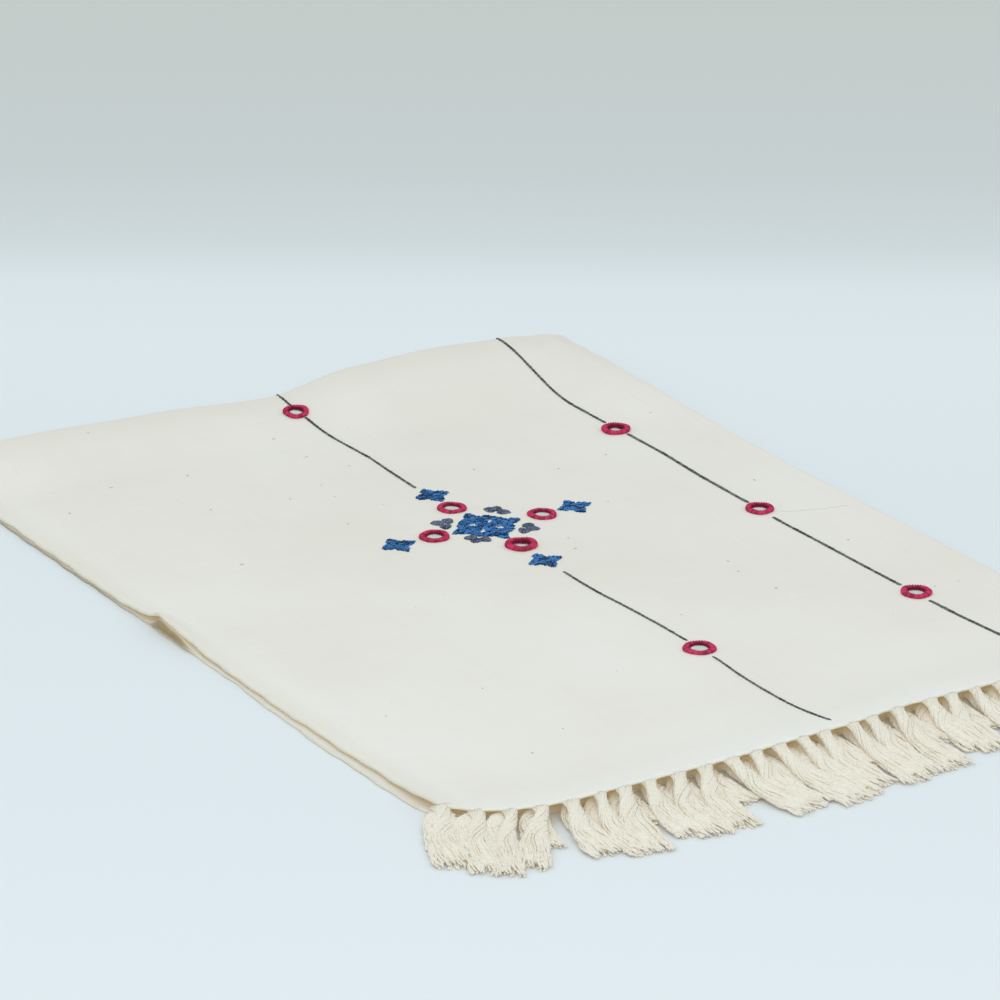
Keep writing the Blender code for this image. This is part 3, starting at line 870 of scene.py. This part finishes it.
def makeNeps():
    # each nep is one tiny stitch along the warp or the weft
    dice = np.random.default_rng(51)
    pieces = []
    kinds = (("seedFlecks", neps["dark"], fleck), ("paleSlubs", neps["pale"], slub))
    for name, places, material in kinds:
        places = np.array(places, float)
        extra = np.stack([dice.uniform(-half, half, neps["more"]) for half in neps["field"]], 1)
        strewn = np.arange(len(places) + len(extra)) >= len(places)
        places = np.concatenate([places, extra])
        half = dice.uniform(*neps["half"], len(places)) * np.where(strewn, neps["moreHalf"], 1)
        alongWarp = dice.uniform(0, 1, len(places)) < 0.5
        thin = neps["thin"]
        step = np.stack([np.where(alongWarp, half, thin), np.where(alongWarp, thin, half)], 1)
        first, last = places - step, places + step
        if name == "paleSlubs":
            start, end = neps["weftSlub"]
            first, last = np.concatenate([first, [start]]), np.concatenate([last, [end]])
        rows = toRows([(first, last)])
        pieces.append(sewStitches(name, *rows, *neps["size"], material, "cotton_cloth", 52))
    return pieces


embroidery = [makeStars(), makeLeaves(), makeLines()] + makeNeps()
print("embroidery made")


# Knotted fringes, the hems' own warp ends: each tassel is a soft core hidden under loose yarns
fringes = (
    {
        "name": "knottedFringeUpper",
        "node": "fringe_upper",
        "setback": 0,
        "layer": upper,
        "long": 1,  # share of the reach in the table of tassels
        "seed": 3,
        "drop": 1,  # lies lower where the hem does
        "offset": 0,
        "share": (0, 0.06, 0.13, 0.22, 0.36, 0.56, 0.80, 1),  # of the reach, for the three rows below
        "middle": (8.6, 8, 6.6, 5.2, 3.9, 3, 2.1, 1.3),
        "across": (3.4, 2.4, 2.4, 3.2, 4.4, 5.7, 6.6, 7),
        "deep": (0.5, 1.5, 1.8, 2, 2.1, 1.9, 1.4, 0.8),
    },
    {
        "name": "knottedFringeLower",
        "node": "fringe_lower",
        "setback": runner["hemSetback"],
        "layer": lower,
        "long": 0.82,
        "seed": 8,
        "drop": 0,
        "offset": 0.4,
        "share": (0, 0.10, 0.20, 0.35, 0.55, 0.80, 1),
        "middle": (0.9, 2.3, 2.6, 2.4, 1.9, 1.5, 1.3),
        "across": (4.4, 3.3, 4.8, 6, 6.6, 7.1, 7.4),
        "deep": (0.4, 1.9, 2.1, 2, 1.6, 1.2, 0.9),
    },
)
yarnShape = {
    "yarns": 52,
    "stations": 16,
    "corners": 4,
    "thick": 1,
    "twist": 1.2,  # half turns as the yarns leave the hem
    "turned": (0.5, 0.3),  # share of the reach by which they have turned, and share undone again
    "wave": 0.6,
    "waves": (14, 24),  # radians over the reach
    "loosen": (0.25, 1),  # shares of the reach between which waves grow
    "bob": 0.5,  # waves up and down, against those sideways
    "swerve": (-0.1, 0.25),  # the same for a tassel's heading
    "bow": (-1, 12),  # how far tassels bend towards +Y
    "uneven": 0.05,  # of heading and reach, and four times that of girth
    "astray": 0.03,  # of the knots, against their spacing
    "tucked": 0.9,  # the knots sit this far behind the hem's edge
    "lastStep": 4,  # a tassel past the last knot stands this far before it
    "out": (0.86, 1.03),  # where they lie, in half widths and half depths of the tassel
    "ends": (0.92, 1.03),
    "girth": (0.85, 1.15),
    "clear": (0.02, 0.05),  # of yarns and of cores above the table
    "tone": (0.12, 0.34),
    "knotShade": (0.2, 0.22),  # painted shade: how much warmer and darker the yarn is at the knots, and up to where
    "coreSize": (0.9, 0.86),  # length and girth against the tassel's
    "coreCorners": 12,
    "coreTone": 0.15,
}


def layTassels(f, dice):
    # knot x and y, heading, reach, girth, bow and drop of the hem, for every tassel
    w = yarnShape
    knots = np.array(runner["tassels"], float)
    count, uneven, astray = len(knots), w["uneven"], w["astray"]
    numbers = np.arange(count) + f["offset"] + dice.uniform(-astray, astray, count)
    y, reach, lean = [np.interp(numbers, np.arange(count), column) for column in knots.T]
    y = np.where(numbers > count - 1, y - w["lastStep"], y)
    x = hemX(y) - f["setback"] - w["tucked"]
    lean = lean / 1000 + dice.uniform(-1, 1, count) * uneven
    reach = reach * f["long"] * (1 + dice.uniform(-1, 1, count) * uneven)
    plump = 1 + dice.uniform(-1, 1, count) * 4 * uneven
    bow = dice.uniform(*w["bow"], count)
    drop = (runner["hemTop"][1] - hemTop(y)) * f["drop"]
    y = y + edgeShift(x, y, f["layer"])
    return [a[:, None, None] for a in (x, y, lean, reach, plump, bow, drop)]


def alongTassel(f, lay, run, side, above, dice):
    # centre = knot + reach * run along the heading, less bow * (run - run^2) across it; side and above
    # are shares of the half width and half depth there, and loose ends wave
    w = yarnShape
    x0, y0, lean, reach, plump, bow, drop = lay
    loose = smoothStep(*w["loosen"], run) * w["wave"]
    shape = (*run.shape[:2], 1)
    swing = np.sin(run * dice.uniform(*w["waves"], shape) + dice.uniform(0, 6.3, shape))
    bob = np.sin(run * dice.uniform(*w["waves"], shape) + dice.uniform(0, 6.3, shape))
    across = np.interp(run, f["share"], f["across"]) * plump * side + loose * swing
    across = across + bow * (run**2 - run)
    deep = np.interp(run, f["share"], f["deep"]) * above + w["bob"] * loose * bob
    z = np.interp(run, f["share"], f["middle"]) - drop * np.clip(1 - run, 0, 1) + deep
    heading = lean * smoothStep(*w["swerve"], run)
    x = x0 + reach * run * np.cos(heading) - np.sin(heading) * across
    y = y0 + reach * run * np.sin(heading) + np.cos(heading) * across
    return np.stack(np.broadcast_arrays(x, y, z), -1).reshape(-1, w["stations"], 3)


def tasselYarns(f, lay, s, dice):
    # yarns keep their place round the core, turn as they leave the hem and never sink into the table
    w = yarnShape
    shape = (len(lay[0]), w["yarns"], 1)
    around = dice.uniform(0, 2 * math.pi, shape)
    out = dice.uniform(*w["out"], shape)
    run = s * dice.uniform(*w["ends"], shape)
    turned, undone = w["turned"]
    turn = around + w["twist"] * math.pi * smoothStep(0, turned, run) * (1 - undone * s)
    centres = alongTassel(f, lay, run, out * np.cos(turn), out * np.sin(turn), dice)
    thick = dice.uniform(*w["girth"], (len(centres), 1)) * w["thick"] / 2 * np.ones((1, w["stations"]))
    centres[..., 2] = np.maximum(centres[..., 2], thick + w["clear"][0])
    # painted shade at the knots
    knotShadeTone, knot = w["knotShade"]
    knotShadeTone = knotShadeTone * (1 - smoothStep(0, knot, run.reshape(-1, w["stations"])))
    tone = dice.uniform(*w["tone"], (len(centres), 1)) - knotShadeTone
    tubes = makeTubes(centres, (0, 0, 1), thick, thick, w["corners"])
    return [*tubes, np.repeat(tone.ravel(), w["corners"])]


def tasselCores(f, lay, s, dice):
    # an ellipse, across by deep at each share of the reach, that stays clear of the table
    w = yarnShape
    length, girth = w["coreSize"]
    run = s * length * np.ones((len(lay[0]), 1, 1))
    centres = alongTassel(f, lay, run, 0, 0, dice)
    plump = lay[4][:, :, 0]
    wide = np.interp(run, f["share"], f["across"])[:, 0] * plump * girth
    high = np.interp(run, f["share"], f["deep"])[:, 0] * girth
    high = np.minimum(high, centres[..., 2] - w["clear"][1])
    tubes = makeTubes(centres, (0, 0, 1), wide, high, w["coreCorners"])
    return [*tubes, np.full(len(tubes[0]), w["coreTone"])]


def makeFringe(f):
    dice = np.random.default_rng(f["seed"])
    lay = layTassels(f, dice)
    s = np.linspace(0, 1, yarnShape["stations"])[None, None, :]
    yarns, cores = tasselYarns(f, lay, s, dice), tasselCores(f, lay, s, dice)
    cores[1] += len(yarns[0])
    points, faces, uv, shade = [np.concatenate(pair) for pair in zip(yarns, cores)]
    piece = makePiece(f["name"], points, faces, yarn, uv, shade)
    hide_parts(f["node"])
    return piece


fringePieces = [makeFringe(f) for f in fringes]
print("fringes made")


# A pale seamless board with painted shade, greying it gently far behind the runner; lengths here are metres
table = {
    "size": 8,
    "away": (-0.8396, 0.5433, 0),  # level direction from the camera to the runner
    "stops": (  # beyond the origin, colour with its painted shade
        (-0.386, "#ebecec"), (0.11, "#e9ebea"), (0.31, "#edefee"), (0.41, "#ecedec"),
        (0.485, "#dfe1dd"), (0.60, "#d9d9d5"), (0.982, "#d6d6cd"),
    ),
    "roughness": 0.85,
    "specular": 0.2,
}


def boardPaint():
    material, add, shader = newMaterial("pale seamless board, matt")
    spot = add("TexCoord", output="Object")
    away = add("VectorMath", [spot, table["away"]], 1, operation="DOT_PRODUCT")
    first, last = table["stops"][0][0], table["stops"][-1][0]
    # painted shade: greyer far behind the runner
    share = add("MapRange", [away, first, last])
    stops = [((place - first) / (last - first), hexColour(colour)) for place, colour in table["stops"]]
    setInputs(shader, {
        "Base Color": add("ValToRGB", [share], stops=stops),
        "Roughness": table["roughness"],
        "Specular IOR Level": table["specular"],
    })
    return material


def makeTable():
    half = table["size"] / 2
    corners = [(-half, -half, 0), (half, -half, 0), (half, half, 0), (-half, half, 0)]
    mesh = bpy.data.meshes.new("tableTop")
    mesh.from_pydata(corners, [], [(0, 1, 2, 3)])
    mesh.materials.append(boardPaint())
    addObject("tableTop", mesh)


makeTable()

# A bluish-white room, brighter overhead than along the walls, and one large softbox; metres and watts
light = {
    "sky": ((0, 0.62), (0.35, 0.8), (1, 1)),  # height of the view ray, brightness
    "skyStrength": 0.985,
    "colour": (0.856, 0.945, 1),
    "softbox": {"place": (1.5, -1.1, 1.5), "size": 1.8, "watts": 14},
}


def makeSky():
    world = bpy.data.worlds.new("soft studio")
    world.use_nodes = True
    tree = world.node_tree
    add = partial(addNode, tree)
    ray = add("TexCoord", output="Generated")
    height = add("SeparateXYZ", [ray], 2)
    stops = [(place, (*[value * c for c in light["colour"]], 1)) for place, value in light["sky"]]
    sky = add("ValToRGB", [height], stops=stops)
    setInputs(tree.nodes["Background"], {"Color": sky, "Strength": light["skyStrength"]})
    scene.world = world


def makeSoftbox():
    box = light["softbox"]
    lamp = bpy.data.lights.new("frontSoftbox", "AREA")
    lamp.shape = "SQUARE"
    lamp.size = box["size"]
    lamp.energy = box["watts"]
    lamp.color = light["colour"]
    aim = Vector(box["place"]).to_track_quat("Z", "Y").to_matrix().to_4x4()
    addObject("frontSoftbox", lamp).matrix_world = Matrix.Translation(box["place"]) @ aim


makeSky()
makeSoftbox()
scene.view_settings.view_transform = "Standard"
scene.view_settings.look = "None"

camera = {
    "lens": 165.6,
    "sensor": 36,
    "place": (1569.936, -1021.755, 755.595),
    "turns": (("Z", 57.095), ("X", 68.842), ("Z", 0.611)),  # yaw, pitch, roll in degrees
    "clip": (0.05, 30),  # metres
}


def makeCamera():
    data = bpy.data.cameras.new("camera")
    data.lens = camera["lens"]
    data.sensor_width = camera["sensor"]
    data.clip_start, data.clip_end = camera["clip"]
    eye = addObject("camera", data)
    stand = Matrix.Translation((Vector(camera["place"]) + Vector((*runner["shift"], 0))) * mm)
    for axis, degrees in camera["turns"]:
        stand = stand @ Matrix.Rotation(math.radians(degrees), 4, axis)
    eye.matrix_world = stand
    scene.camera = eye


makeCamera()
print("table, light and camera made")
